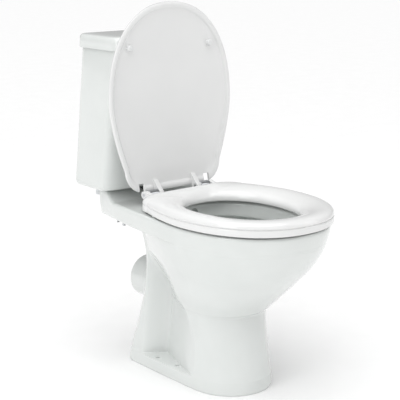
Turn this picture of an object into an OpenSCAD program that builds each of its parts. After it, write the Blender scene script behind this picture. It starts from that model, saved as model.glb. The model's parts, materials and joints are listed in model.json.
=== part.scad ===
// Close coupled toilet: washdown pan with a horizontal outlet, cistern, dual flush and soft-close seat.
// Millimetres. +Z is up and -Y is the front. The origin lies on the floor, under the middle of the object.

/* [Pan] */
// Depth of the whole object, from the front of the seat to the wall side of the cistern
overall_depth = 660; // [655:1:670]
// Height of the pan rim above the floor
rim_height = 400; // [396:1:404]
// Width of the pan rim
rim_width = 350; // [344:1:356]
// Width of the foot
foot_width = 198; // [190:1:204]
// Height of the centre of the horizontal outlet
outlet_height = 190; // [185:1:195]
// Outside diameter of the outlet spigot
outlet_dia = 102; // [100:1:104]
// Diameter of the floor fixing holes
floor_hole_dia = 9; // [7:0.5:10]

/* [Cistern] */
// Width of the cistern near its bottom
cistern_width = 316; // [310:1:320]
// Width of the cistern under its lid
cistern_top_width = 254; // [248:1:260]
// Depth of the cistern at its bottom
cistern_depth = 150; // [148:1:154]
// Height of the top of the cistern lid above the floor
cistern_top = 784; // [780:1:790]
// Thickness of the china
china_wall = 10; // [9:0.5:11]

/* [Seat] */
// Width of the seat ring
seat_width = 358; // [354:1:362]
// Distance between the two hinge centres
hinge_spacing = 155; // [150:1:160]
// Diameter of the hinge pins
pin_dia = 8; // [7:0.5:8.5]
// Angle to which the lid stands open, from closed
lid_open_angle = 92; // [88:0.5:92.5]

/* [Flush] */
// Travel of the two flush buttons
button_travel = 6; // [4:0.5:7]
// Diameter of the flush button bezel
bezel_dia = 48; // [46:1:50]

/* [Hidden] */
$fn = 48;

china = "#e2e5e3";
duroplast = "#f2f2f1";
chrome = "#c9ccd0";
rubber = "#3a3b3d";
valve_white = "#dfe3e6";
valve_blue = "#5d7fa6";

nose_steps = 9;
side_steps = 10;
corner_steps = 4;
back_steps = 2;

front_y = -overall_depth / 2;
wall_y = overall_depth / 2;

// Levels of the pan
deck_rise = 20;
deck_top = rim_height + deck_rise;
deck_rear_y = wall_y - 68;
deck_under = rim_height - 40;
rim_front_y = front_y + 8;
foot_half = foot_width / 2;
flange_z = 30;
groove_y = 95;
web_depth = 46;
recess_depth = 50;
floor_hole_x = 80;
floor_hole_ys = [16, 88];

// The flush way and the bolts that hold the cistern to the pan
flush_y = wall_y - 108;
coupling_half = 75;
coupling_hole_r = 6;
tail_r = 23.9;
recess_r = 34;
recess_floor = deck_top - 24;
way_z = rim_height - 21;
way_r = 11;

// Trapway
trap_r = 30;
trap_low = [0, -30, 140];
trap_crest = [0, 100, 240];
trap_end = [0, 165, 195];
outlet_end_y = wall_y - 98;
outlet_start_y = 120;
outlet_collar_y = outlet_end_y - 52;
outlet_bore_r = outlet_dia / 2 - 8;

// Cistern
cistern_base = deck_top + 5;
cistern_floor = cistern_base + china_wall;
cistern_rim = cistern_top - 14;
skirt_bottom = cistern_top - 32;
cistern_front_y = wall_y - cistern_depth;
cistern_back_y = wall_y - 8;
lid_half = cistern_top_width / 2 + 7;
lid_front_y = wall_y - 180;
button_y = 240;
wall_hole_x = 90;
wall_hole_z = cistern_top - 54;

// Fill valve
fill_x = -98;
fill_y = wall_y - 45;
fill_tail_r = 10.4;
fill_shank_r = 11.2;

// Hinges
axis_y = 106;
axis_z = rim_height + 26;
hinge_half = hinge_spacing / 2;
pin_r = pin_dia / 2;
barrel_r = 10;
barrel_half = 14;
lug_gap = 0.6;
lug_width = 12;
lug_fit = 0.05;

// Seat
ring_under = rim_height + 4;
ring_half = seat_width / 2;
ring_rear_y = axis_y - 22;
lid_under = rim_height + 39;

function blend(a, b, u) = a + (b - a) * u;
function clamp(u) = min(max(u, 0), 1);
function ease(u) = let(v = clamp(u)) v * v * (3 - 2 * v);
function side_of(x) = x < 0 ? -1 : 1;

// One half of an outline, from the front centre past +X to the rear centre.
// half: half width, front: front Y, wide: Y where it is widest, rear: rear Y,
// rear_half: half width at the rear, corner: rear corner radius, power: 2 is an ellipse, more is squarer,
// draw: how the side runs in to the rear, early when under 1 and late when over 1
function half_outline(half, front, wide, rear, rear_half, corner, power, draw = 1.6) =
    concat(
        [for (i = [0:nose_steps - 1])
            let(a = 90 * i / nose_steps)
            [half * pow(sin(a), 2 / power), wide - (wide - front) * pow(cos(a), 2 / power)]],
        [for (i = [0:side_steps])
            let(u = i / side_steps)
            [blend(half, rear_half, pow(u, draw)), blend(wide, rear - corner, u)]],
        [for (i = [1:corner_steps])
            let(a = 90 * i / corner_steps)
            [rear_half - corner + corner * cos(a), rear - corner + corner * sin(a)]],
        [for (i = [1:back_steps])
            [(rear_half - corner) * (1 - i / back_steps), rear]]
    );

// One half of an egg, with as many points as half_outline
function half_egg(half, front, wide, rear, power) =
    let(rear_steps = side_steps + corner_steps + back_steps)
    concat(
        [for (i = [0:nose_steps - 1])
            let(a = 90 * i / nose_steps)
            [half * pow(sin(a), 2 / power), wide - (wide - front) * pow(cos(a), 2 / power)]],
        [for (i = [0:rear_steps])
            let(a = 90 * i / rear_steps)
            [half * pow(cos(a), 2 / power), wide + (rear - wide) * pow(sin(a), 2 / power)]]
    );

function whole_outline(half_points) =
    let(last = len(half_points) - 1)
    concat(half_points, [for (i = [last - 1:-1:1]) [-half_points[i].x, half_points[i].y]]);

// A level outline at height z. section: [z, half, front, wide, rear, rear_half, corner, power]
function level_ring(section) =
    let(draw = len(section) > 8 ? section[8] : 1.6)
    [for (p = whole_outline(half_outline(section[1], section[2], section[3], section[4],
                                         section[5], section[6], section[7], draw)))
        [p.x, p.y, section[0]]];

// An egg at height z. section: [z, half, front, wide, rear, power]
function egg_ring(section) =
    [for (p = whole_outline(half_egg(section[1], section[2], section[3], section[4], section[5])))
        [p.x, p.y, section[0]]];

function ring_centre(ring) = [for (k = [0:2]) [for (p = ring) p[k]] * [for (p = ring) 1 / len(ring)]];

// Faces between neighbouring rings of a loft. closed joins the last ring to the first
function wall_faces(count, steps, closed) =
    [for (k = [0:count - (closed ? 1 : 2)])
        let(next = (k + 1) % count)
        for (i = [0:steps - 1])
        let(j = (i + 1) % steps, a = k * steps + i, b = next * steps + i)
        let(c = next * steps + j, d = k * steps + j)
        each [[a, b, c], [a, c, d]]];

// A closed skin over a list of rings, capped at both ends
module capped_loft(rings) {
    steps = len(rings[0]);
    count = len(rings);
    first = count * steps;
    points = concat([for (r = rings) each r], [ring_centre(rings[0]), ring_centre(rings[count - 1])]);
    caps = [for (i = [0:steps - 1])
        let(j = (i + 1) % steps)
        each [[first, i, j], [first + 1, (count - 1) * steps + j, (count - 1) * steps + i]]];
    polyhedron(points = points, faces = concat(wall_faces(count, steps, false), caps), convexity = 10);
}

// A closed skin over a list of rings that runs back into itself
module looped_loft(rings) {
    steps = len(rings[0]);
    polyhedron(points = [for (r = rings) each r], faces = wall_faces(len(rings), steps, true),
        convexity = 10);
}

module along_y(x, y, z) { translate([x, y, z]) rotate([-90, 0, 0]) children(); }
module along_x(x, y, z) { translate([x, y, z]) rotate([0, 90, 0]) children(); }
module both_sides() { for (s = [-1, 1]) scale([s, 1, 1]) children(); }

module tube(outer, inner, height) {
    difference() {
        cylinder(r = outer, h = height);
        translate([0, 0, -1]) cylinder(r = inner, h = height + 2);
    }
}

// ---- Pan ----

// How far the side of the foot is drawn in at a point: a hollow that deepens to a groove,
// then a web that runs out to the rear edge
function side_hollow(y, z) =
    let(
        start_y = -62 + 50 * ease((z - 90) / 150),
        rise = pow(clamp((y - start_y) / (groove_y - start_y)), 1.15),
        web = 1 - ease((y - groove_y) / web_depth),
        window = ease((z - flange_z) / 9) * (1 - ease((z - 195) / 110))
    )
    recess_depth * window * (y < groove_y ? rise : web);

function hollowed(ring) =
    [for (p = ring) [p.x - side_of(p.x) * min(side_hollow(p.y, p.z), abs(p.x)), p.y, p.z]];

// The deck under the cistern stands a little above the rim, and its underside is flat
function deck_lift(y) = deck_rise * ease((y - 182) / 38);
function seated(ring) =
    [for (p = ring) [p.x, p.y, p.z < deck_under - 3 ? p.z : blend(p.z, deck_under, ease((p.y - 60) / 40))]];
function lifted(ring) = [for (p = ring) [p.x, p.y, p.z + deck_lift(p.y)]];

pan_half = rim_width / 2;

// The space under the foot: from under the sump, up round the front of the bowl, then down to the floor.
// Each line is an outline followed by the height that its front part reaches
under_sections = [
    [[96, 24, -80, -52, 150, 20, 16, 2, 0.7], 96],
    [[97, 52, -104, -60, 156, 22, 16, 2, 0.7], 132],
    [[97, 68, -130, -66, 160, 23, 16, 2, 0.7], 164],
    [[93, 76, -138, -70, 164, 23, 16, 2, 0.7], 160],
    [[60, 82, -150, -78, 172, 24, 16, 2, 0.7], 84],
    [[30, 84, -153, -82, 176, 25, 16, 2, 0.7], 34],
    [[0, 85, -155, -82, 180, 26, 16, 2, 0.7], 0]
];

// A ring whose front part, ahead of the trapway, is raised to a height of its own
function front_raised(ring, height) =
    [for (p = ring) [p.x, p.y, blend(height, p.z, ease((p.y + 62) / 50))]];

// The outside, from the floor up to the underside of the deck
foot_sections = [
    [0, foot_half - 2, front_y + 157, -65, 203, foot_half - 9, 32, 2.1],
    [5, foot_half, front_y + 155, -65, 205, foot_half - 7, 32, 2.1],
    [flange_z, foot_half - 1, front_y + 156, -65, 201, foot_half - 9, 32, 2.1],
    [flange_z + 5, foot_half - 1.5, front_y + 157, -65, 200, foot_half - 10, 32, 2.1],
    [flange_z + 10, foot_half - 2, front_y + 158, -65, 199, foot_half - 10, 32, 2.1],
    [85, foot_half - 6, front_y + 165, -64, 188, foot_half - 17, 30, 2.1],
    [140, foot_half - 8, front_y + 173, -62, 175, foot_half - 22, 30, 2.1],
    [176, foot_half - 6, front_y + 176, -62, 166, foot_half - 24, 30, 2.1],
    [188, foot_half - 1, front_y + 164, -66, 163, foot_half - 24, 30, 2.1],
    [220, foot_half + 15, front_y + 130, -76, 155, foot_half - 22, 30, 2.15],
    [260, pan_half - 44, front_y + 87, -86, 148, foot_half - 18, 30, 2.15],
    [300, pan_half - 25, front_y + 49, -94, 143, foot_half - 10, 30, 2.2],
    [335, pan_half - 12, front_y + 26, -100, 141, foot_half, 30, 2.2],
    [deck_under - 2, pan_half - 6, front_y + 16, -103, 141, foot_half + 8, 28, 2.2]
];

// The edge of the deck and rim
deck_sections = [
    [deck_under, pan_half - 6, front_y + 16, -103, deck_rear_y - 5, 119, 14, 2.2],
    [deck_under + 5, pan_half - 5, front_y + 14, -103, deck_rear_y, 124, 18, 2.2],
    [rim_height - 7, pan_half, rim_front_y, -103, deck_rear_y, 125, 18, 2.2],
    [rim_height - 2, pan_half - 1.5, rim_front_y + 1.5, -103, deck_rear_y - 1.5, 123.5, 17, 2.2],
    [rim_height, pan_half - 6, rim_front_y + 6, -103, deck_rear_y - 6, 119, 13, 2.2]
];

// Shares of the way from the edge of the deck to the mouth of the bowl; the step of the deck lies between them
deck_shares = [0.08, 0.18, 0.23, 0.28, 0.33, 0.38, 0.6];

// The inside of the rim and the bowl, from the top of the rim down to the sump
bowl_sections = [
    [rim_height, 122, front_y + 68, -105, 56, 2.25],
    [rim_height - 6, 116, front_y + 74, -105, 50, 2.25],
    [rim_height - 32, 115, front_y + 75, -105, 49, 2.25],
    [rim_height - 36, 119, front_y + 71, -105, 53, 2.25],
    [rim_height - 22, 128, front_y + 62, -105, 60, 2.3],
    [rim_height - 17, 140, front_y + 50, -105, 66, 2.3],
    [rim_height - 28, 151, front_y + 39, -105, 70, 2.3],
    [rim_height - 50, 153, front_y + 37, -104, 71, 2.3],
    [300, pan_half - 37, front_y + 62, -98, 60, 2.3],
    [250, pan_half - 60, front_y + 108, -88, 42, 2.2],
    [200, 86, front_y + 168, -74, 22, 2.1],
    [160, 58, front_y + 214, -62, 6, 2],
    [125, 40, front_y + 242, -55, -7, 2],
    [108, 26, front_y + 256, -50, -15, 2]
];

module pan_china() {
    under = [for (s = under_sections) front_raised(level_ring(s[0]), s[1])];
    foot = [for (s = foot_sections) seated(hollowed(level_ring(s)))];
    top = [for (i = [0:len(deck_sections) - 1])
        i < 2 ? level_ring(deck_sections[i]) : lifted(level_ring(deck_sections[i]))];
    bowl = [for (s = bowl_sections) egg_ring(s)];
    edge = level_ring(deck_sections[len(deck_sections) - 1]);
    flat = [for (u = deck_shares) lifted([for (i = [0:len(edge) - 1]) blend(edge[i], bowl[0][i], u)])];
    capped_loft(concat(under, foot, top, flat, bowl));
}

module rod_between(a, b, r) {
    d = b - a;
    translate(a) rotate([atan2(d.z, d.y) - 90, 0, 0]) cylinder(r = r, h = norm(d));
}

module trapway() {
    rod_between(trap_low, trap_crest, trap_r);
    translate(trap_crest) sphere(r = trap_r + 1);
    rod_between(trap_crest, trap_end, trap_r);
    along_y(0, outlet_end_y - 85, outlet_height) cylinder(r = outlet_bore_r, h = 100);
}

module flush_way() {
    translate([0, flush_y, recess_floor]) cylinder(r = recess_r, h = 40);
    translate([0, flush_y, way_z - way_r - 2]) cylinder(r = tail_r + 2, h = 60);
    along_y(0, 30, way_z) cylinder(r = way_r, h = flush_y - 30);
}

// The open back: a hollow under the deck, and the space behind the trapway in the foot
// Hollows behind the bowl: each a low corner and a size
// one under the deck, one behind the foot, one under the trapway
back_pocket_boxes = [
    [[-76, 84, 286], [152, 90, 58]],
    [[-64, 140, -1], [128, 32, 110]],
    [[-29, 62, 50], [58, 62, 110]],
];

module back_pockets() {
    for (box = back_pocket_boxes) translate(box[0]) cube(box[1]);
}

spot_face_r = 9;
hinge_hole_r = 6.5;
outlet_collar_wall = 5;

module pan() {
    color(china)
    difference() {
        union() {
            pan_china();
            along_y(0, outlet_start_y, outlet_height) {
                cylinder(d = outlet_dia, h = outlet_end_y - outlet_start_y);
                cylinder(r = outlet_dia / 2 + outlet_collar_wall, h = outlet_collar_y - outlet_start_y);
            }
        }
        trapway();
        flush_way();
        back_pockets();
        both_sides() {
            for (y = floor_hole_ys) translate([floor_hole_x, y, 0]) {
                translate([0, 0, -1]) cylinder(d = floor_hole_dia, h = 60);
                translate([0, 0, flange_z]) cylinder(r = spot_face_r, h = 40);
            }
            translate([coupling_half, flush_y, deck_under - 20]) cylinder(r = coupling_hole_r, h = 100);
            translate([hinge_half, axis_y, rim_height - 42]) cylinder(r = hinge_hole_r, h = 60);
        }
    }
}

// ---- Cistern ----

cistern_mid_y = wall_y - 60;

// Outline of the cistern at a height, drawn in by inset
function cistern_section(z, inset) =
    let(u = (z - cistern_base) / (cistern_rim - cistern_base))
    let(half = blend(cistern_width, cistern_top_width, u) / 2 - inset)
    let(front = blend(cistern_front_y, lid_front_y + 7, u) + inset)
    [z, half, front, front + 42, cistern_back_y - inset, half - 3, max(24 - inset, 12), 4.2];

module cistern_china() {
    outside = [
        cistern_section(cistern_base, 14), cistern_section(cistern_base + 3, 5),
        cistern_section(cistern_base + 12, 0), cistern_section(cistern_rim - 120, 0),
        cistern_section(cistern_rim - 3, 0), cistern_section(cistern_rim, 2)
    ];
    inside = [
        cistern_section(cistern_rim, china_wall - 2), cistern_section(cistern_rim - 3, china_wall),
        cistern_section(cistern_floor + 14, china_wall), cistern_section(cistern_floor, china_wall + 3)
    ];
    capped_loft([for (s = concat(outside, inside)) level_ring(s)]);
}

module cistern() {
    color(china)
    difference() {
        cistern_china();
        translate([0, flush_y, cistern_base - 1]) cylinder(r = tail_r + 0.6, h = china_wall + 2);
        translate([fill_x, fill_y, cistern_base - 1]) cylinder(r = fill_shank_r + 0.6, h = china_wall + 2);
        both_sides() {
            translate([coupling_half, flush_y, cistern_base - 1]) cylinder(r = coupling_hole_r, h = china_wall + 2);
            along_y(wall_hole_x, cistern_back_y - china_wall - 1, wall_hole_z)
            cylinder(r = 4, h = china_wall + 2);
        }
    }
}

// Outline of the cistern lid at a height, drawn in by inset
function lid_section(z, inset) =
    [z, lid_half - inset, lid_front_y + inset, lid_front_y + 46, wall_y - inset, lid_half - 3 - inset,
        max(28 - inset, 10), 4];

// A round hole whose points lie on the lines from its centre to the points of a ring
function hole_in(ring, centre, r, z) =
    [for (p = ring)
        let(away = [p.x, p.y] - centre)
        let(q = centre + away * (r / norm(away)))
        [q.x, q.y, z]];

module cistern_lid() {
    hole_r = 21;
    inside = [lid_section(cistern_rim + 0.3, 6), lid_section(skirt_bottom, 4)];
    outside = [
        lid_section(skirt_bottom, 1.5), lid_section(skirt_bottom + 2, 0),
        lid_section(cistern_top - 9, 1), lid_section(cistern_top - 3, 4), lid_section(cistern_top, 12),
        lid_section(cistern_top + 1.5, 50)
    ];
    skin = [for (s = concat(inside, outside)) level_ring(s)];
    centre = [0, button_y];
    color(china)
    looped_loft(concat(
        [hole_in(skin[0], centre, hole_r, cistern_rim + 0.3)],
        skin,
        [hole_in(skin[0], centre, hole_r, cistern_top + 1.5)]
    ));
}

module cistern_pads() {
    color(rubber)
    both_sides() translate([102, flush_y + 16, deck_top]) cylinder(r = 9, h = cistern_base - deck_top);
}

// ---- Joint between cistern and pan ----

module coupling_seal() {
    nut_top = cistern_base - 14;
    color(rubber)
    translate([0, flush_y, 0])
    difference() {
        translate([0, 0, recess_floor]) cylinder(r = recess_r - 0.5, h = cistern_base - recess_floor);
        translate([0, 0, recess_floor - 1]) cylinder(r = tail_r + 0.3, h = 80);
        translate([0, 0, nut_top - 1]) cylinder(r = 31.3, h = 40);
    }
}

module coupling_bolts() {
    color(chrome)
    both_sides() translate([coupling_half, flush_y, 0]) {
        translate([0, 0, deck_under - 32]) cylinder(r = 4, h = cistern_floor + 6 - deck_under + 32);
        translate([0, 0, cistern_floor + 6]) cylinder(r = 10, h = 4);
        translate([0, 0, cistern_floor + 10]) cylinder(r = 6.5, h = 4);
    }
}

module bolt_seals() {
    color(rubber)
    both_sides() translate([coupling_half, flush_y, cistern_floor]) tube(12, 4, 6);
}

module bolt_washers() {
    color(chrome)
    both_sides() translate([coupling_half, flush_y, deck_under - 3]) tube(13, 4, 3);
}

module wing_nuts() {
    wing = 15;
    color(chrome)
    both_sides() translate([coupling_half, flush_y, deck_under - 15])
    difference() {
        union() {
            cylinder(r = 8, h = 12);
            for (s = [-1, 1]) translate([s > 0 ? 5 : -wing - 5, -1.5, -6]) cube([wing, 3, 13]);
        }
        translate([0, 0, -10]) cylinder(r = 4, h = 40);
    }
}

// ---- Flush valve ----

valve_floor = cistern_floor + 5;
seal_z = valve_floor + 6;
tower_top = cistern_floor + 262;
tower_head = 8;
lift_rise = 12;

module flush_valve_base() {
    color(valve_white)
    translate([0, flush_y, 0])
    difference() {
        union() {
            translate([0, 0, recess_floor + 4]) cylinder(r = tail_r, h = cistern_floor - recess_floor - 4);
            translate([0, 0, cistern_floor]) cylinder(r = 27, h = 5);
            translate([0, 0, valve_floor]) cylinder(r = 22, h = 6);
        }
        translate([0, 0, recess_floor]) cylinder(r = 19, h = 80);
    }
}

module flush_valve_backnut() {
    color(valve_white)
    translate([0, flush_y, cistern_base - 13])
    difference() {
        cylinder(r = 31, h = 13, $fn = 8);
        translate([0, 0, -1]) cylinder(r = tail_r, h = 20);
    }
}

module flush_valve_tower() {
    posts = 4;
    color(valve_blue)
    translate([0, flush_y, 0])
    difference() {
        union() {
            for (i = [0:posts - 1]) rotate([0, 0, 45 + 90 * i])
                translate([24, -4, valve_floor]) cube([5, 8, 60]);
            translate([0, 0, valve_floor + 60]) tube(30, 18, 6);
            translate([0, 0, valve_floor + 66]) tube(22, 18, tower_top - valve_floor - 66);
            translate([0, 0, tower_top]) tube(30, 13, tower_head);
        }
        translate([-8, -40, valve_floor + 110]) cube([16, 80, 90]);
    }
}

module flush_valve_lift() {
    color(valve_white)
    translate([0, flush_y, 0]) {
        translate([0, 0, seal_z + 5]) tube(20, 9, 4);
        translate([0, 0, seal_z + 9]) tube(12, 9, tower_top - 20 - seal_z);
        translate([0, 0, valve_floor + 90]) tube(16.5, 12, 5);
    }
}

module flush_valve_seal() {
    color(rubber)
    translate([0, flush_y, seal_z]) tube(23, 9, 5);
}

// ---- Fill valve ----

fill_head_z = cistern_floor + 208;
lever_z = fill_head_z + 46.5;
lever_arm = 39;
lever_pivot_x = -17;

module fill_valve_body() {
    color(valve_white)
    translate([fill_x, fill_y, 0]) {
        difference() {
            union() {
                translate([0, 0, cistern_base - 26]) cylinder(r = fill_tail_r, h = 30);
                translate([0, 0, cistern_base - 12]) cylinder(r = fill_shank_r, h = china_wall + 12);
                translate([0, 0, cistern_floor + 3]) cylinder(r = 17, h = 5);
                translate([0, 0, cistern_floor]) cylinder(r = fill_shank_r, h = 4);
                translate([0, 0, cistern_floor + 8]) cylinder(r = 11, h = 200);
                translate([0, 0, fill_head_z]) cylinder(r = 19, h = 34);
                translate([0, 0, fill_head_z + 34]) cylinder(r = 12, h = 5);
                for (y = [-9, 6]) translate([lever_pivot_x - 4, y, fill_head_z + 20]) cube([8, 3, 31]);
            }
            translate([0, 0, cistern_base - 30]) cylinder(r = 6, h = china_wall + 180);
        }
        along_y(lever_pivot_x, -9, lever_z) cylinder(r = 1.5, h = 18);
    }
}

module fill_valve_float() {
    float_z = cistern_floor + 118;
    color(valve_blue)
    translate([fill_x, fill_y, 0]) {
        difference() {
            translate([0, 0, float_z]) cylinder(r = 26, h = 72);
            translate([0, 0, float_z - 1]) cylinder(r = 11.4, h = 80);
            translate([0, 0, float_z - 1]) tube(23, 14, 66);
        }
        translate([lever_pivot_x + lever_arm, 0, float_z + 71])
        cylinder(r = 1.5, h = lever_z - 2.9 - float_z - 71);
    }
}

module fill_valve_lever() {
    color(valve_white)
    translate([fill_x, fill_y, 0])
    difference() {
        union() {
            translate([lever_pivot_x, -5, lever_z - 2.5]) cube([lever_arm + 5, 10, 5]);
            along_y(lever_pivot_x, -5, lever_z) cylinder(r = 4, h = 10);
        }
        along_y(lever_pivot_x, -6, lever_z) cylinder(r = 1.6, h = 12);
    }
}

module fill_valve_washer() {
    color(rubber)
    translate([fill_x, fill_y, cistern_floor]) tube(16, fill_shank_r, 3);
}

module fill_valve_nut() {
    color(rubber)
    translate([fill_x, fill_y, cistern_base - 12])
    difference() {
        cylinder(r = 16, h = 12, $fn = 6);
        translate([0, 0, -1]) cylinder(r = fill_shank_r, h = 14);
    }
}

// ---- Flush buttons ----

bezel_z = cistern_top + 2;
key_r = 17;
key_gap = 0.6;
key_top = bezel_z + 5;

module button_bezel() {
    color(chrome)
    translate([0, button_y, 0])
    difference() {
        union() {
            translate([0, 0, bezel_z]) cylinder(d = bezel_dia, h = 2);
            translate([0, 0, bezel_z + 2]) cylinder(d1 = bezel_dia, d2 = bezel_dia - 5, h = 2);
            translate([0, 0, cistern_top - 32]) cylinder(r = 19.6, h = 34);
        }
        translate([0, 0, cistern_top - 24]) cylinder(r = key_r + 0.4, h = 60);
        translate([0, 0, cistern_top - 33]) cylinder(r = 15, h = 60);
    }
}

module button_nut() {
    color(valve_white)
    translate([0, button_y, cistern_top - 21.7])
    difference() {
        cylinder(r = 25, h = 8, $fn = 8);
        translate([0, 0, -1]) cylinder(r = 19.6, h = 10);
    }
}

// One key of the divided button; it fills the disc on one side of a chord at x = chord_x
module button_key(side, chord_x) {
    depth = 16;
    translate([0, button_y, key_top - depth])
    intersection() {
        cylinder(r = key_r, h = depth);
        translate([side > 0 ? chord_x + key_gap / 2 : chord_x - key_gap / 2 - 60, -30, -1]) cube([60, 60, depth + 2]);
    }
}

module push_rod(x) {
    rod_base = tower_top + tower_head + button_travel + 1;
    translate([x, button_y, rod_base]) cylinder(r = 3, h = key_top - 16 - rod_base);
}

key_chord = -4;

module full_flush_button() { color(chrome) button_key(1, key_chord); }
module half_flush_button() { color(chrome) button_key(-1, key_chord); }
module full_push_rod() { color(valve_white) push_rod(8); }
module half_push_rod() { color(valve_white) push_rod(-9); }

// ---- Seat ----

ring_outer = whole_outline(half_outline(ring_half, front_y, -105, ring_rear_y, 150, 48, 2.2));
ring_inner = whole_outline(half_egg(106, front_y + 72, -108, 28, 2.2));

// A ring of the seat at a share of the way from its outer edge to its hole
function seat_level(share, z) =
    [for (i = [0:len(ring_outer) - 1])
        let(p = blend(ring_outer[i], ring_inner[i], share))
        [p.x, p.y, z]];

// Round the section of the seat ring: [share of the way in, height above its underside]
ring_profile = [
    [0.02, 0], [0, 3], [0, 13], [0.03, 15.5], [0.015, 19], [0.06, 26], [0.16, 30], [0.32, 31.5],
    [0.6, 28], [0.85, 21], [0.97, 13], [1, 6], [0.97, 2], [0.9, 0],
    [0.84, 0], [0.8, 12], [0.55, 20], [0.3, 23], [0.14, 18], [0.09, 0]
];

lug_x = hinge_half + barrel_half + lug_gap;

// A hinge lug in the YZ plane, from x to x + lug_width: a knuckle and an arm that reaches to (reach_y, reach_z)
module lug(x, reach) {
    translate([x, 0, 0]) rotate([90, 0, 90]) linear_extrude(height = lug_width) union() {
        translate([axis_y, axis_z]) circle(r = barrel_r - 1);
        polygon(reach);
    }
}

module seat_ring() {
    arm = [
        [axis_y - 2, axis_z - 8], [axis_y - 2, axis_z + 8],
        [ring_rear_y - 12, ring_under + 24], [ring_rear_y - 12, ring_under + 6]
    ];
    color(duroplast)
    difference() {
        union() {
            looped_loft([for (p = ring_profile) seat_level(p[0], ring_under + p[1])]);
            lug(lug_x, arm);
            lug(-lug_x - lug_width, arm);
        }
        along_x(-200, axis_y, axis_z) cylinder(r = pin_r + lug_fit, h = 400);
    }
}

// Where the buffers of the ring stand: [x, y]
ring_buffer_spots = [[128, -215], [150, 5]];

module ring_buffers() {
    color(valve_white)
    both_sides() for (p = ring_buffer_spots)
        translate([p.x, p.y, rim_height + 0.3])
        cylinder(r1 = 7, r2 = 8, h = ring_under + 21 - rim_height);
}

// Round the section of the seat lid: [share of the way to its centre, height above its underside]
lid_profile = [
    [0.96, 8.5], [0.6, 8.2], [0.2, 6.5], [0.07, 4], [0.05, 0], [0.02, -1], [0, 0.5],
    [0, 4.5], [0.02, 8], [0.07, 11], [0.2, 12.8], [0.6, 14], [0.96, 14.2]
];
lid_outline = whole_outline(half_outline(ring_half + 1, front_y, -105, axis_y - 3, 142, 52, 2.2));
lid_middle = [0, -110];
lid_band_y = axis_y - 24;

function lid_level(share, z) =
    [for (p = lid_outline)
        let(q = blend(p, lid_middle, share))
        [q.x, q.y, z - 6 * ease((q.y - lid_band_y + 30) / 34) * clamp((z - lid_under) / 14)]];

// Everything on the lid is drawn closed, then turned open about the hinge axis
module opened() {
    translate([0, axis_y, axis_z]) rotate([-lid_open_angle, 0, 0]) translate([0, -axis_y, -axis_z]) children();
}

module seat_lid() {
    arm = [
        [axis_y - 3, axis_z - 8], [axis_y + 4, axis_z + 8], [axis_y - 4, lid_under + 5],
        [lid_band_y - 6, lid_under + 7], [lid_band_y - 6, lid_under + 1], [lid_band_y + 2, lid_under - 3]
    ];
    lid_lug_x = hinge_half - barrel_half - lug_gap - lug_width;
    notch_x = lid_lug_x - 2;
    notch_w = lug_x + lug_width + 2 - notch_x;
    color(duroplast)
    opened()
    difference() {
        union() {
            difference() {
                capped_loft([for (p = lid_profile) lid_level(p[0], lid_under + p[1])]);
                both_sides() translate([lug_x - 2, lid_band_y, lid_under - 20]) cube([lug_width + 4, 60, 60]);
            }
            lug(lid_lug_x, arm);
            lug(-lid_lug_x - lug_width, arm);
        }
        along_x(-200, axis_y, axis_z) cylinder(r = pin_r + lug_fit, h = 400);
    }
}

lid_buffer_spots = [[118, -230]];

module lid_buffers() {
    color(valve_white)
    opened()
    both_sides() for (p = lid_buffer_spots)
        translate([p.x, p.y, lid_under - 3]) cylinder(r1 = 7, r2 = 8, h = 11);
}

// ---- Hinges ----

module hinge_post() {
    translate([hinge_half, axis_y, 0])
    difference() {
        union() {
            translate([0, 0, rim_height]) cylinder(r = 17, h = 3);
            translate([0, 0, rim_height + 3]) cylinder(r1 = 16, r2 = 11, h = 4);
            translate([0, 0, rim_height + 7]) cylinder(r = 8, h = axis_z - rim_height - 7);
            translate([-barrel_half, 0, axis_z]) rotate([0, 90, 0]) cylinder(r = barrel_r, h = 2 * barrel_half);
        }
        translate([-30, 0, axis_z]) rotate([0, 90, 0]) cylinder(r = 6.5, h = 60);
        translate([0, 0, rim_height - 1]) cylinder(r = 3, h = 16);
    }
}

module hinge_post_left() { color(chrome) mirror([1, 0, 0]) hinge_post(); }
module hinge_post_right() { color(chrome) hinge_post(); }

module hinge_pins() {
    reach = barrel_half + lug_gap + lug_width;
    color(chrome)
    both_sides() along_x(hinge_half - reach, axis_y, axis_z) cylinder(r = pin_r, h = 2 * reach);
}

module hinge_dampers() {
    color(valve_blue)
    both_sides() along_x(hinge_half - barrel_half, axis_y, axis_z) tube(6.5, pin_r, 2 * barrel_half);
}

module hinge_bolts() {
    color(chrome)
    both_sides() translate([hinge_half, axis_y, rim_height - 34]) cylinder(r = 3, h = 49);
}

module hinge_plugs() {
    color(rubber)
    both_sides() translate([hinge_half, axis_y, rim_height - 32]) tube(6.5, 3, 32);
}

pan();
cistern();
cistern_lid();
cistern_pads();
coupling_seal();
coupling_bolts();
bolt_seals();
bolt_washers();
wing_nuts();
flush_valve_base();
flush_valve_backnut();
flush_valve_tower();
flush_valve_lift();
flush_valve_seal();
fill_valve_body();
fill_valve_float();
fill_valve_lever();
fill_valve_washer();
fill_valve_nut();
button_bezel();
button_nut();
full_flush_button();
half_flush_button();
full_push_rod();
half_push_rod();
seat_ring();
ring_buffers();
seat_lid();
lid_buffers();
hinge_post_left();
hinge_post_right();
hinge_pins();
hinge_dampers();
hinge_bolts();
hinge_plugs();
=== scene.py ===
"""Visual model of a close coupled toilet: white china, glossy seat, chrome hinges and flush button."""
import json
import math

import bmesh
import bpy
from mathutils import Matrix, Vector


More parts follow.
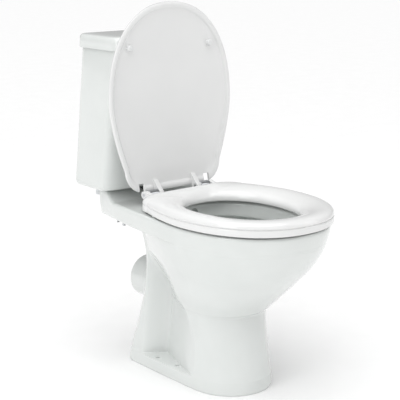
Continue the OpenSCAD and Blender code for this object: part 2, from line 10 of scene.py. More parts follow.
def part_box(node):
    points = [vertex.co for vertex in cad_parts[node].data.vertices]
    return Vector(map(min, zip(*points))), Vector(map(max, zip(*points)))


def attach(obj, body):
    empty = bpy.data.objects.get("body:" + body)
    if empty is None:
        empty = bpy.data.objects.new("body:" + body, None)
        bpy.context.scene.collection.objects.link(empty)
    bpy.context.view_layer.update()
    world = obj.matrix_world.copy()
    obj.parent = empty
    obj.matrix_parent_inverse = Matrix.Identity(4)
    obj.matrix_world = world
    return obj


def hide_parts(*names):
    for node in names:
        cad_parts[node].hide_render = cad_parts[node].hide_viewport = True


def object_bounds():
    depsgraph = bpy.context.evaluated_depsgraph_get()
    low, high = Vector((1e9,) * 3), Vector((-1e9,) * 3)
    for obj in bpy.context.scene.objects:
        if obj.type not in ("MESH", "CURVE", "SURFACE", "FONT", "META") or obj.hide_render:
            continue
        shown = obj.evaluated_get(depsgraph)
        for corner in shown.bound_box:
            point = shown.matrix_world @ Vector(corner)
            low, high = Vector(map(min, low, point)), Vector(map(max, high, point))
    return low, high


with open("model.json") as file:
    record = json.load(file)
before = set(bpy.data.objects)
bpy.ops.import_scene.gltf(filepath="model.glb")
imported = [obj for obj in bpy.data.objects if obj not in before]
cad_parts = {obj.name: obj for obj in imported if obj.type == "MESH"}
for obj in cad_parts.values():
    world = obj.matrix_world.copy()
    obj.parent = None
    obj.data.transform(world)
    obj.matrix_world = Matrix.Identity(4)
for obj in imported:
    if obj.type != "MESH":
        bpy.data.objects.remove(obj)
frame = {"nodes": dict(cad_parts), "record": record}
cad_low, cad_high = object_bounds()
record = frame["record"]
MM = 0.001

# ---- Measures, in millimetres, taken from the CAD nodes ----


def box_mm(node):
    low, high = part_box(node)
    return Vector(low) / MM, Vector(high) / MM


mounts = {m["name"]: Vector(m["pos_m"]) / MM for m in record["mounts"]}
joints = {j["name"]: j for j in record["behaviour"]["joints"]}

pan_low, pan_high = box_mm("pan")
tank_low, tank_high = box_mm("cistern")
cover_low, cover_high = box_mm("cistern_lid")
ring_low, ring_high = box_mm("seat_ring")
bezel_low, bezel_high = box_mm("button_bezel")
post_low, post_high = box_mm("hinge_post_right")
seal_low, seal_high = box_mm("coupling_seal")

PAN_HALF = pan_high.x
FRONT = ring_low.y
DECK_TOP = pan_high.z
DECK_RISE = 20
RIM = DECK_TOP - DECK_RISE
DECK_UNDER = RIM - 40
DECK_REAR = pan_high.y
FOOT_HALF = 99
FLANGE_Z = 30
GROOVE_Y = 95
WEB_DEPTH = 46
RECESS_DEPTH = 50
WALL_Y = -FRONT
AXIS_Y, AXIS_Z = [v / MM for v in joints["ring_hinge"]["pos_m"][1:]]
HINGE_X = (post_low.x + post_high.x) / 2
FLUSH_Y = (seal_low.y + seal_high.y) / 2
OUTLET_Z = mounts["outlet_spigot"].z
OUTLET_END = mounts["outlet_spigot"].y + 26
OUTLET_COLLAR = OUTLET_END - 52
OUTLET_R = 51
OPEN_ANGLE = 92
RING_HALF = ring_high.x
RING_UNDER = ring_low.z
RING_REAR = AXIS_Y - 22
LID_UNDER = RING_UNDER + 35
COUPLING_X = 75
BOLT_HOLE_R = 6
CLEAR_TOP = 440

UP, BACKWARD, ACROSS = (0, 0, 1), (0, 1, 0), (1, 0, 0)

# ---- Small maths ----


def mix(a, b, u):
    return a + (b - a) * u


def clamp(u):
    return min(max(u, 0.0), 1.0)


def ease(u):
    v = clamp(u)
    return v * v * (3 - 2 * v)


def monotone_slopes(xs, ys):
    """Slopes of a curve through the points that never overshoots them."""
    gaps = [(ys[i + 1] - ys[i]) / (xs[i + 1] - xs[i]) for i in range(len(xs) - 1)]
    slopes = [gaps[0]]
    for a, b in zip(gaps, gaps[1:]):
        slopes.append(0.0 if a * b <= 0 else 2 * a * b / (a + b))
    slopes.append(gaps[-1])
    return slopes


def smooth_rows(rows, per_gap):
    """Rows of numbers with smooth in-between rows. Distance along the rows sets the pace."""
    at = [0.0]
    for a, b in zip(rows, rows[1:]):
        at.append(at[-1] + max(0.5, math.dist(a[:3], b[:3])))
    columns = list(zip(*rows))
    slopes = [monotone_slopes(at, c) for c in columns]
    made = []
    for i in range(len(rows) - 1):
        width = at[i + 1] - at[i]
        for k in range(per_gap):
            t = k / per_gap
            h00 = 2 * t**3 - 3 * t**2 + 1
            h10 = t**3 - 2 * t**2 + t
            h01 = -2 * t**3 + 3 * t**2
            h11 = t**3 - t**2
            made.append([
                h00 * c[i] + h10 * width * s[i] + h01 * c[i + 1] + h11 * width * s[i + 1]
                for c, s in zip(columns, slopes)
            ])
    made.append(list(rows[-1]))
    return made


# ---- Outlines: the same ones as the CAD, with more points ----

NOSE, SIDE, CORNER, BACK = 36, 96, 14, 8


def nose_points(half, front, wide, power):
    for i in range(NOSE):
        a = math.pi / 2 * i / NOSE
        x = half * math.sin(a) ** (2 / power)
        y = wide - (wide - front) * math.cos(a) ** (2 / power)
        yield x, y


def half_outline(half, front, wide, rear, rear_half, corner, power, draw=1.6):
    points = list(nose_points(half, front, wide, power))
    for i in range(SIDE + 1):
        u = i / SIDE
        points.append((mix(half, rear_half, u**draw), mix(wide, rear - corner, u)))
    for i in range(1, CORNER + 1):
        a = math.pi / 2 * i / CORNER
        points.append((rear_half - corner + corner * math.cos(a), rear - corner + corner * math.sin(a)))
    for i in range(1, BACK + 1):
        points.append(((rear_half - corner) * (1 - i / BACK), rear))
    return points


def half_egg(half, front, wide, rear, power):
    points = list(nose_points(half, front, wide, power))
    steps = SIDE + CORNER + BACK
    for i in range(steps + 1):
        a = math.pi / 2 * i / steps
        points.append((
            half * max(math.cos(a), 0) ** (2 / power),
            wide + (rear - wide) * math.sin(a) ** (2 / power),
        ))
    return points


def whole(half):
    return half + [(-x, y) for x, y in half[-2:0:-1]]


def level_ring(row):
    return [Vector((x, y, row[0])) for x, y in whole(half_outline(*row[1:]))]


def egg_ring(row):
    return [Vector((x, y, row[0])) for x, y in whole(half_egg(*row[1:]))]


# ---- Meshes ----

def outward(mesh):
    work = bmesh.new()
    work.from_mesh(mesh)
    bmesh.ops.recalc_face_normals(work, faces=work.faces)
    work.to_mesh(mesh)
    work.free()


def finish_mesh(name, mesh, angle):
    mesh.validate()
    outward(mesh)
    for polygon in mesh.polygons:
        polygon.use_smooth = True
    mesh.set_sharp_from_angle(angle=math.radians(angle))
    obj = bpy.data.objects.new(name, mesh)
    bpy.context.scene.collection.objects.link(obj)
    return obj


def object_from(name, points, faces, angle=40):
    """An object from points in millimetres."""
    mesh = bpy.data.meshes.new(name)
    mesh.from_pydata([tuple(Vector(p) * MM) for p in points], [], faces)
    mesh.update()
    return finish_mesh(name, mesh, angle)


def loft(name, rings, closed=False, angle=40):
    """A skin over rings of the same number of points, capped unless it closes on itself."""
    steps, count = len(rings[0]), len(rings)
    points = [p for r in rings for p in r]
    faces = []
    for k in range(count if closed else count - 1):
        n = (k + 1) % count
        for i in range(steps):
            j = (i + 1) % steps
            faces.append((k * steps + i, n * steps + i, n * steps + j, k * steps + j))
    if not closed:
        for first, flip in ((0, False), ((count - 1) * steps, True)):
            ring = points[first:first + steps]
            middle = len(points)
            points.append(sum(ring, Vector()) / steps)
            for i in range(steps):
                j = (i + 1) % steps
                a, b = first + i, first + j
                faces.append((middle, b, a) if flip else (middle, a, b))
    return object_from(name, points, faces, angle)


def lathe(name, profile, centre, axis, steps=64, angle=30):
    """A turned piece. profile: closed loop of (radius, height along axis); radius 0 joins the middle."""
    z = Vector(axis).normalized()
    side = Vector((1, 0, 0)) if abs(z.x) < 0.5 else Vector((0, 1, 0))
    u = z.cross(side).normalized()
    v = z.cross(u)
    points, spots, faces = [], [], []
    for r, h in profile:
        base = Vector(centre) + z * h
        if r <= 0:
            spots.append([len(points)] * steps)
            points.append(base)
            continue
        spots.append([len(points) + i for i in range(steps)])
        for i in range(steps):
            a = math.tau * i / steps
            points.append(base + (u * math.cos(a) + v * math.sin(a)) * r)
    for k in range(len(profile)):
        n = (k + 1) % len(profile)
        if profile[k][0] <= 0 and profile[n][0] <= 0:
            continue
        for i in range(steps):
            j = (i + 1) % steps
            corners = [spots[k][i], spots[k][j], spots[n][j], spots[n][i]]
            unique = [c for m, c in enumerate(corners) if c not in corners[:m]]
            faces.append(unique)
    return object_from(name, points, faces, angle)


def rod(radius, start, end):
    """The profile of a plain cylinder."""
    return [(0, start), (radius, start), (radius, end), (0, end)]


def drill(x, y, radius, low, high, steps=32):
    """An upright cylinder that cuts a hole."""
    return lathe("drill", rod(radius, low, high), (x, y, 0), UP, steps)


def block(name, low, high):
    points = [(x, y, z) for x in (low[0], high[0]) for y in (low[1], high[1]) for z in (low[2], high[2])]
    faces = [(0, 1, 3, 2), (4, 6, 7, 5), (0, 4, 5, 1), (2, 3, 7, 6), (0, 2, 6, 4), (1, 5, 7, 3)]
    return object_from(name, points, faces)


def rounded(profile, radius, steps=4):
    """A closed profile with each corner turned into an arc where there is room for it."""
    made = []
    count = len(profile)
    for i in range(count):
        here = Vector(profile[i])
        before, after = Vector(profile[i - 1]), Vector(profile[(i + 1) % count])
        if here.x <= 0:
            made.append(tuple(here))
            continue
        to_a, to_b = before - here, after - here
        room = min(radius, to_a.length * 0.45, to_b.length * 0.45)
        if room < 0.05 or to_a.normalized().dot(to_b.normalized()) < -0.98:
            made.append(tuple(here))
            continue
        a, b = here + to_a.normalized() * room, here + to_b.normalized() * room
        for k in range(steps + 1):
            t = k / steps
            made.append(tuple(a * (1 - t) ** 2 + here * 2 * t * (1 - t) + b * t**2))
    return made


def turned(name, profile, centre, axis, round_by=0.6, steps=64):
    return lathe(name, rounded(profile, round_by), centre, axis, steps)


def apply_modifiers(obj, angle=40):
    graph = bpy.context.evaluated_depsgraph_get()
    mesh = bpy.data.meshes.new_from_object(obj.evaluated_get(graph))
    obj.modifiers.clear()
    obj.data = mesh
    for polygon in mesh.polygons:
        polygon.use_smooth = True
    mesh.set_sharp_from_angle(angle=math.radians(angle))


def combine(obj, others, how, angle=40):
    """Joins or cuts obj with other objects, which are then removed."""
    for other in others:
        modifier = obj.modifiers.new("cut", "BOOLEAN")
        modifier.operation = how
        modifier.solver = "EXACT"
        modifier.object = other
        apply_modifiers(obj, angle)
        bpy.data.objects.remove(other)


def joined(name, objects):
    """One object with the meshes of several, which are then removed."""
    work = bmesh.new()
    for obj in objects:
        work.from_mesh(obj.data)
        bpy.data.objects.remove(obj)
    mesh = bpy.data.meshes.new(name)
    work.to_mesh(mesh)
    work.free()
    return finish_mesh(name, mesh, 30)


def soft_edges(obj, width, segments=3, angle=35):
    modifier = obj.modifiers.new("soft_edges", "BEVEL")
    modifier.width = width * MM
    modifier.segments = segments
    modifier.limit_method = "ANGLE"
    modifier.angle_limit = math.radians(angle)
    modifier.harden_normals = False
    return obj


# ---- Pan ----

SMOOTH_CHINA = 62


# The hollow in each side of the pedestal: where it starts, how that line leans back, and where it fades out
HOLLOW_START, HOLLOW_LEAN = -62, 50
LEAN_FROM, LEAN_RUN = 90, 150
HOLLOW_POWER = 1.15
HOLLOW_FLOOR = 3
FADE_FROM, FADE_RUN = 195, 110


def side_hollow(y, z):
    start = HOLLOW_START + HOLLOW_LEAN * ease((z - LEAN_FROM) / LEAN_RUN)
    rise = clamp((y - start) / (GROOVE_Y - start)) ** HOLLOW_POWER
    web = 1 - ease((y - GROOVE_Y) / WEB_DEPTH)
    window = ease((z - FLANGE_Z) / HOLLOW_FLOOR) * (1 - ease((z - FADE_FROM) / FADE_RUN))
    return RECESS_DEPTH * window * (rise if y < GROOVE_Y else web)


def hollowed(ring):
    made = []
    for p in ring:
        depth = min(side_hollow(p.y, p.z), abs(p.x))
        made.append(Vector((p.x - math.copysign(depth, p.x), p.y, p.z)))
    return made


# The step up to the deck, and the run over which the underside turns flat below it
STEP_FROM, STEP_RUN = 182, 38
SEAT_FROM, SEAT_RUN = 60, 40


def lifted(ring):
    return [Vector((p.x, p.y, p.z + DECK_RISE * ease((p.y - STEP_FROM) / STEP_RUN))) for p in ring]


def seated(ring):
    made = []
    for p in ring:
        flat = ease((p.y - SEAT_FROM) / SEAT_RUN)
        z = p.z if p.z < DECK_UNDER - 3 else mix(p.z, DECK_UNDER, flat)
        made.append(Vector((p.x, p.y, z)))
    return made


# Rows of the outside, from the floor up: height, then what half_outline takes
FOOT_ROWS = [
    [0, FOOT_HALF - 2, FRONT + 157, -65, 203, FOOT_HALF - 9, 32, 2.1],
    [5, FOOT_HALF, FRONT + 155, -65, 205, FOOT_HALF - 7, 32, 2.1],
    [FLANGE_Z, FOOT_HALF - 1, FRONT + 156, -65, 201, FOOT_HALF - 9, 32, 2.1],
    [FLANGE_Z + 5, FOOT_HALF - 1.5, FRONT + 157, -65, 200, FOOT_HALF - 10, 32, 2.1],
    [FLANGE_Z + 10, FOOT_HALF - 2, FRONT + 158, -65, 199, FOOT_HALF - 10, 32, 2.1],
    [85, FOOT_HALF - 6, FRONT + 165, -64, 188, FOOT_HALF - 17, 30, 2.1],
    [140, FOOT_HALF - 8, FRONT + 173, -62, 175, FOOT_HALF - 22, 30, 2.1],
    [176, FOOT_HALF - 6, FRONT + 176, -62, 166, FOOT_HALF - 24, 30, 2.1],
    [188, FOOT_HALF - 1, FRONT + 164, -66, 163, FOOT_HALF - 24, 30, 2.1],
    [220, FOOT_HALF + 15, FRONT + 130, -76, 155, FOOT_HALF - 22, 30, 2.15],
    [260, PAN_HALF - 44, FRONT + 87, -86, 148, FOOT_HALF - 18, 30, 2.15],
    [300, PAN_HALF - 25, FRONT + 49, -94, 143, FOOT_HALF - 10, 30, 2.2],
    [335, PAN_HALF - 12, FRONT + 26, -100, 141, FOOT_HALF, 30, 2.2],
    [DECK_UNDER - 2, PAN_HALF - 6, FRONT + 16, -103, 141, FOOT_HALF + 8, 28, 2.2],
]

DECK_ROWS = [
    [DECK_UNDER, PAN_HALF - 6, FRONT + 16, -103, DECK_REAR - 5, 119, 14, 2.2],
    [DECK_UNDER + 5, PAN_HALF - 5, FRONT + 14, -103, DECK_REAR, 124, 18, 2.2],
    [RIM - 7, PAN_HALF, FRONT + 8, -103, DECK_REAR, 125, 18, 2.2],
    [RIM - 2, PAN_HALF - 1.5, FRONT + 9.5, -103, DECK_REAR - 1.5, 123.5, 17, 2.2],
    [RIM, PAN_HALF - 6, FRONT + 14, -103, DECK_REAR - 6, 119, 13, 2.2],
]

# Rows of the inside, from the rim down: height, then what half_egg takes
BOWL_ROWS = [
    [RIM, 122, FRONT + 68, -105, 56, 2.25],
    [RIM - 6, 116, FRONT + 74, -105, 50, 2.25],
    [RIM - 32, 115, FRONT + 75, -105, 49, 2.25],
    [RIM - 36, 119, FRONT + 71, -105, 53, 2.25],
    [RIM - 22, 128, FRONT + 62, -105, 60, 2.3],
    [RIM - 17, 140, FRONT + 50, -105, 66, 2.3],
    [RIM - 28, 151, FRONT + 39, -105, 70, 2.3],
    [RIM - 50, 153, FRONT + 37, -104, 71, 2.3],
    [300, PAN_HALF - 37, FRONT + 62, -98, 60, 2.3],
    [250, PAN_HALF - 60, FRONT + 108, -88, 42, 2.2],
    [200, 86, FRONT + 168, -74, 22, 2.1],
    [160, 58, FRONT + 214, -62, 6, 2],
    [125, 40, FRONT + 242, -55, -7, 2],
    [108, 26, FRONT + 256, -50, -15, 2],
]

# Rows of the hollow under the foot: a row of half_outline each, and its height in front
UNDER_ROWS = [
    [96, 24, -80, -52, 150, 20, 16, 2, 0.7, 96],
    [97, 52, -104, -60, 156, 22, 16, 2, 0.7, 132],
    [97, 68, -130, -66, 160, 23, 16, 2, 0.7, 164],
    [93, 76, -138, -70, 164, 23, 16, 2, 0.7, 160],
    [60, 82, -150, -78, 172, 24, 16, 2, 0.7, 84],
    [30, 84, -153, -82, 176, 25, 16, 2, 0.7, 34],
    [0, 85, -155, -82, 180, 26, 16, 2, 0.7, 0],
]


def under_ring(row):
    ring = level_ring(row[:9])
    return [Vector((p.x, p.y, mix(row[9], p.z, ease((p.y + 62) / 50)))) for p in ring]


DECK_STEPS = 24


def china_skin():
    """The whole skin of the pan: hollow foot, pedestal, deck, rim and bowl, in one loft."""
    under = [under_ring(r) for r in smooth_rows(UNDER_ROWS, 3)]
    foot = [seated(hollowed(level_ring(r))) for r in smooth_rows(FOOT_ROWS, 10)]
    deck = [level_ring(r) for r in smooth_rows(DECK_ROWS[:2], 2)[:-1]]
    deck += [lifted(level_ring(r)) for r in smooth_rows(DECK_ROWS[1:], 5)]
    edge = level_ring(DECK_ROWS[-1])
    mouth = egg_ring(BOWL_ROWS[0])
    flat = []
    for k in range(1, DECK_STEPS):
        u = k / DECK_STEPS
        flat.append(lifted([a.lerp(b, u) for a, b in zip(edge, mouth)]))
    bowl = [egg_ring(r) for r in smooth_rows(BOWL_ROWS, 4)]
    return loft("pan_china", under + foot + deck + flat + bowl, angle=SMOOTH_CHINA)


TRAP_R = 30
TRAP_BEND_R = TRAP_R * 1.03
TRAP_LOW, TRAP_CREST, TRAP_END = Vector((0, -30, 140)), Vector((0, 100, 240)), Vector((0, 165, 195))
BEND_STEPS = 16


def trap_cutters():
    """The two legs of the trapway and the bend between them."""
    cutters = []
    for a, b in ((TRAP_LOW, TRAP_CREST), (TRAP_CREST, TRAP_END)):
        cutters.append(lathe("leg", rod(TRAP_R, 0, (b - a).length), a, b - a, 48))
    arc = []
    for k in range(BEND_STEPS + 1):
        a = math.pi * k / BEND_STEPS
        arc.append((TRAP_BEND_R * math.sin(a), TRAP_BEND_R * math.cos(a)))
    arc[0], arc[-1] = (0, arc[0][1]), (0, arc[-1][1])
    cutters.append(lathe("bend", arc, TRAP_CREST, UP, 48))
    return cutters


def outlet_bore():
    """The bore of the spigot, with a rounded mouth; heights count from the mouth."""
    r = OUTLET_R - 8
    return lathe("bore", [
        (0, -85), (r, -85), (r, -2.5), (r + 0.7, -1), (r + 2.5, 0.1), (r + 2.5, 10), (0, 10),
    ], (0, OUTLET_END, OUTLET_Z), BACKWARD, 96)


WAY_R = 11
WAY_START = 30
WAY_Z = RIM - 21
MOUTH_R, SEAL_SEAT_R = 25.9, 34


def flush_way_cutters():
    """The way from the cistern to the bowl, and the seat of the rubber seal above it."""
    seat = DECK_TOP - 24
    return [
        lathe("way", rod(WAY_R, 0, FLUSH_Y - WAY_START), (0, WAY_START, WAY_Z), BACKWARD, 40),
        lathe("seat", [
            (0, WAY_Z - 13), (MOUTH_R, WAY_Z - 13), (MOUTH_R, seat), (SEAL_SEAT_R, seat),
            (SEAL_SEAT_R, CLEAR_TOP), (0, CLEAR_TOP),
        ], (0, FLUSH_Y, 0), UP, 96),
    ]


# Low and high corner of each hollow behind the bowl: under the deck, behind the foot, under the trapway
POCKETS = [
    ((-76, 84, 286), (76, 174, 344)),
    ((-64, 140, -1), (64, 172, 109)),
    ((-29, 62, 50), (29, 124, 160)),
]

FLOOR_HOLE = [
    (0, -1), (4.5, -1), (4.5, FLANGE_Z), (5, FLANGE_Z + 1.6), (6.4, FLANGE_Z + 3.6),
    (6.8, FLANGE_Z + 9), (0, FLANGE_Z + 9),
]
HINGE_HOLE_R = 6.5


def fixing_cutters():
    cutters = []
    for side in (-1, 1):
        for name in ("floor_hole_left_front", "floor_hole_left_rear"):
            spot = mounts[name]
            cutters.append(lathe("hole", FLOOR_HOLE, (side * abs(spot.x), spot.y, 0), UP, 40))
        cutters.append(drill(side * COUPLING_X, FLUSH_Y, BOLT_HOLE_R, DECK_UNDER - 20, CLEAR_TOP))
        cutters.append(drill(side * HINGE_X, AXIS_Y, HINGE_HOLE_R, RIM - 42, RIM + 18))
    return cutters


def make_pan():
    pan = china_skin()
    spigot = turned("spigot", [
        (0, 138), (OUTLET_R + 9, 138), (OUTLET_R + 7, 160), (OUTLET_R + 5, OUTLET_COLLAR),
        (OUTLET_R, OUTLET_COLLAR + 0.8), (OUTLET_R, OUTLET_END), (0, OUTLET_END),
    ], (0, 0, OUTLET_Z), BACKWARD, 2.5, 96)
    combine(pan, [spigot], "UNION", SMOOTH_CHINA)
    cutters = trap_cutters() + [outlet_bore()] + flush_way_cutters()
    cutters += [block("pocket", low, high) for low, high in POCKETS]
    combine(pan, cutters + fixing_cutters(), "DIFFERENCE", SMOOTH_CHINA)
    return pan


# ---- Cistern and its lid ----

TANK_FLOOR = tank_low.z + 10
TANK_RIM = tank_high.z


def tank_row(z, inset):
    u = (z - tank_low.z) / (TANK_RIM - tank_low.z)
    half = mix(316, 254, u) / 2 - inset
    front = mix(180, 157, u) + inset
    return [z, half, front, front + 42, tank_high.y - inset, half - 3, max(24 - inset, 12), 4.2]


FLUSH_HOLE_R = 24.5
INLET_HOLE_R = 11.8


def make_cistern():
    base = tank_low.z
    below, above = base - 1, base + 12
    outside = [tank_row(base + rise, inset) for rise, inset in ((0, 14), (0.8, 9), (3, 5), (7, 1.6), (12, 0))]
    outside += [tank_row(base + rise, 0) for rise in (20, 80, 160, 240)]
    outside += [tank_row(TANK_RIM - drop, inset) for drop, inset in ((20, 0), (3, 0), (0.8, 0.7), (0, 2))]
    inside = [tank_row(TANK_RIM - drop, inset) for drop, inset in ((0, 8), (0.8, 9.4), (3, 10), (60, 10))]
    inside += [tank_row(base + 160, 10), tank_row(TANK_FLOOR + 14, 10)]
    inside += [tank_row(TANK_FLOOR + 4, 11), tank_row(TANK_FLOOR, 13)]
    tank = loft("cistern_china", [level_ring(r) for r in outside + inside])
    fill = mounts["inlet_thread"]
    cutters = [
        drill(0, FLUSH_Y, FLUSH_HOLE_R, below, above, 64),
        drill(fill.x, fill.y, INLET_HOLE_R, below, above, 40),
    ]
    hole = mounts["wall_hole_right"]
    wall_hole = [(0, -8), (4, -8), (4, 3.6), (5.2, 5.1), (5.2, 9), (0, 9)]
    for side in (-1, 1):
        cutters.append(lathe("hole", wall_hole, (side * abs(hole.x), hole.y, hole.z), BACKWARD, 32))
        cutters.append(drill(side * COUPLING_X, FLUSH_Y, BOLT_HOLE_R, below, above))
    combine(tank, cutters, "DIFFERENCE")
    return tank


COVER_HALF = cover_high.x
COVER_FRONT = cover_low.y
COVER_TOP = cover_high.z - 1.5
SKIRT = cover_low.z
BUTTON_Y = (bezel_low.y + bezel_high.y) / 2


def cover_row(z, inset):
    wide = COVER_FRONT + max(46, inset + 8)
    return [z, COVER_HALF - inset, COVER_FRONT + inset, wide, WALL_Y - inset,
            COVER_HALF - 3 - inset, max(28 - inset, 10), 4]


def hole_ring(ring, r, z):
    made = []
    for p in ring:
        away = Vector((p.x, p.y - BUTTON_Y, 0)).normalized() * r
        made.append(Vector((away.x, BUTTON_Y + away.y, z)))
    return made


# Height above the lower edge of the skirt, or below the top of the lid, and how far in, up the outside
SKIRT_STEPS = [(1.5, 4), (0.3, 3.4), (0, 2.4), (0.4, 0.9), (2, 0), (9, 0)]
CROWN_STEPS = [(9, 1), (6, 2.1), (3, 4), (0.9, 7.6), (0, 12), (-1, 26), (-1.5, 50)]
BUTTON_HOLE_R = 21


def make_cistern_lid():
    inner = TANK_RIM + 0.3
    rows = [cover_row(inner, 6), cover_row(inner - 6, 5.2)]
    rows += [cover_row(SKIRT + rise, inset) for rise, inset in SKIRT_STEPS]
    rows += [cover_row(COVER_TOP - 13, 0.5)]
    rows += smooth_rows([cover_row(COVER_TOP - drop, inset) for drop, inset in CROWN_STEPS], 3)
    skin = [level_ring(r) for r in rows]
    top = COVER_TOP + 1.5
    return loft("cistern_lid_china", [hole_ring(skin[0], BUTTON_HOLE_R, inner)] + skin + [
        hole_ring(skin[0], 34, top), hole_ring(skin[0], BUTTON_HOLE_R + 1, top),
        hole_ring(skin[0], BUTTON_HOLE_R + 0.3, top - 0.3), hole_ring(skin[0], BUTTON_HOLE_R, top - 1),
    ], closed=True)


# ---- Seat ring and lid ----

RING_OUTER = whole(half_outline(RING_HALF, FRONT, -105, RING_REAR, 150, 48, 2.2))
RING_INNER = whole(half_egg(106, FRONT + 72, -108, 28, 2.2))

# Round the section of the ring: share of the way in, height above its underside, depth of the edge groove
RING_PROFILE = [
    (0.02, 0, 0), (0.004, 1, 0), (0, 3, 0), (0, 8, 0), (0, 12.6, 0), (0.004, 14, 0.2),
    (0.006, 15, 1), (0.006, 15.9, 1), (0.003, 17, 0.3), (0.002, 19, 0), (0.014, 23, 0), (0.045, 26.6, 0),
    (0.09, 29.2, 0), (0.17, 30.9, 0), (0.28, 31.5, 0), (0.42, 30.9, 0), (0.6, 28.3, 0), (0.76, 24.2, 0),
    (0.88, 19.4, 0), (0.96, 13.8, 0), (0.995, 8.4, 0), (0.99, 3.4, 0), (0.96, 1, 0), (0.9, 0, 0),
    (0.85, 0.4, 0), (0.83, 4, 0), (0.8, 12, 0), (0.68, 16.6, 0), (0.55, 20, 0), (0.3, 23, 0),
    (0.17, 20, 0), (0.12, 12, 0), (0.1, 4, 0), (0.085, 0.4, 0),
]


def groove_depth(y):
    """The line round the edge of the seat is deep at the front and dies out towards the hinges."""
    return 0.028 * (1 - 0.75 * ease((y + 150) / 220))


def ring_level(share, height, groove):
    made = []
    for (ax, ay), (bx, by) in zip(RING_OUTER, RING_INNER):
        s = share + groove * groove_depth(ay)
        made.append(Vector((mix(ax, bx, s), mix(ay, by, s), RING_UNDER + height)))
    return made


BARREL_HALF = 14
LUG_GAP = 0.6
LUG_W = 12
LUG_X = HINGE_X + BARREL_HALF + LUG_GAP
KNUCKLE_R = 9
PIN_HOLE_R = 4.05
ROUND_STEPS = 40


def convex(points):
    """The convex outline round some points."""
    points = sorted(set(points))

    def half(seq):
        made = []
        for p in seq:
            while len(made) > 1 and (
                (made[-1][0] - made[-2][0]) * (p[1] - made[-2][1])
                - (made[-1][1] - made[-2][1]) * (p[0] - made[-2][0])
            ) <= 0:
                made.pop()
            made.append(p)
        return made[:-1]

    return half(points) + half(points[::-1])


def plate(name, outline, x, width, angle=30):
    """A plate of an outline in (Y, Z), from x to x + width."""
    count = len(outline)
    points = [(x, y, z) for y, z in outline] + [(x + width, y, z) for y, z in outline]
    faces = [tuple(range(count)), tuple(range(2 * count - 1, count - 1, -1))]
    faces += [(i, (i + 1) % count, count + (i + 1) % count, count + i) for i in range(count)]
    return object_from(name, points, faces, angle)


def pin_hole(obj):
    length = 420
    hole = lathe("pin", rod(PIN_HOLE_R, 0, length), (-length / 2, AXIS_Y, AXIS_Z), ACROSS, ROUND_STEPS)
    combine(obj, [hole], "DIFFERENCE")


def knuckle(x, arm):
    """A round hinge knuckle with an arm, each the convex outline of its points."""
    circle = []
    for k in range(ROUND_STEPS):
        a = math.tau * k / ROUND_STEPS
        circle.append((AXIS_Y + KNUCKLE_R * math.cos(a), AXIS_Z + KNUCKLE_R * math.sin(a)))
    round_part = plate("lug", circle, x, LUG_W)
    arm_part = plate("arm", convex(arm), x, LUG_W)
    combine(round_part, [arm_part], "UNION")
    pin_hole(round_part)
    soft_edges(round_part, 0.9)
    apply_modifiers(round_part)
    return round_part


def make_ring():
    ring = loft("seat_ring_plastic", [ring_level(*r) for r in RING_PROFILE], closed=True, angle=50)
    arm = [
        (AXIS_Y - 2, AXIS_Z - 8), (AXIS_Y - 2, AXIS_Z + 8),
        (RING_REAR - 12, RING_UNDER + 24), (RING_REAR - 12, RING_UNDER + 6),
    ]
    arms = [knuckle(x, arm) for x in (LUG_X, -LUG_X - LUG_W)]
    return joined("seat_ring_duroplast", [ring] + arms)


LID_OUTLINE = whole(half_outline(RING_HALF + 1, FRONT, -105, AXIS_Y - 3, 142, 52, 2.2))
LID_MIDDLE = (0, -110)
LID_BAND = AXIS_Y - 24
LID_THICK = 14
REAR_DROP, DROP_FROM, DROP_RUN = 6, LID_BAND - 30, 34

# Round the section of the lid, from the middle of its underside: share of the way in, height
LID_PROFILE = [
    (0.97, 8.5), (0.8, 8.4), (0.6, 8.2), (0.4, 7.6), (0.2, 6.5), (0.12, 5.4), (0.085, 4.4), (0.072, 3.6),
    (0.066, 2.4), (0.06, 1), (0.052, 0), (0.036, -0.8), (0.02, -1), (0.008, -0.5), (0.001, 0.6),
    (0, 2.4), (0, 4.5), (0.004, 6.3), (0.014, 7.9), (0.034, 9.6), (0.07, 11), (0.12, 12), (0.2, 12.8),
    (0.4, 13.6), (0.6, 14), (0.8, 14.15), (0.97, 14.2),
]


def lid_level(share, height):
    made = []
    z = LID_UNDER + height
    for x, y in LID_OUTLINE:
        qx, qy = mix(x, LID_MIDDLE[0], share), mix(y, LID_MIDDLE[1], share)
        drop = REAR_DROP * ease((qy - DROP_FROM) / DROP_RUN) * clamp(height / LID_THICK)
        made.append(Vector((qx, qy, z - drop)))
    return made


def swung_open(obj):
    """Turns a piece that was drawn closed to where it stands open."""
    pivot = Vector((0, AXIS_Y, AXIS_Z)) * MM
    turn = Matrix.Rotation(math.radians(-OPEN_ANGLE), 4, "X")
    obj.data.transform(Matrix.Translation(pivot) @ turn @ Matrix.Translation(-pivot))
    return obj


def make_lid():
    lid = loft("seat_lid_plastic", [lid_level(*r) for r in LID_PROFILE], angle=50)
    notches = []
    for x in (LUG_X - 2, -LUG_X - LUG_W - 2):
        low = (x, LID_BAND, LID_UNDER - 20)
        high = (x + LUG_W + 4, LID_BAND + 60, LID_UNDER + 40)
        notches.append(block("notch", low, high))
    combine(lid, notches, "DIFFERENCE")
    arm_upper = [
        (AXIS_Y - 3, AXIS_Z - 8), (AXIS_Y + 4, AXIS_Z + 8), (AXIS_Y - 4, LID_UNDER + 5),
        (LID_BAND - 6, LID_UNDER + 7), (LID_BAND - 6, LID_UNDER + 1), (LID_BAND + 2, LID_UNDER - 3),
    ]
    inner_x = HINGE_X - (BARREL_HALF + LUG_GAP) - LUG_W
    arms = [knuckle(x, arm_upper) for x in (inner_x, -inner_x - LUG_W)]
    return swung_open(joined("seat_lid_duroplast", [lid] + arms))


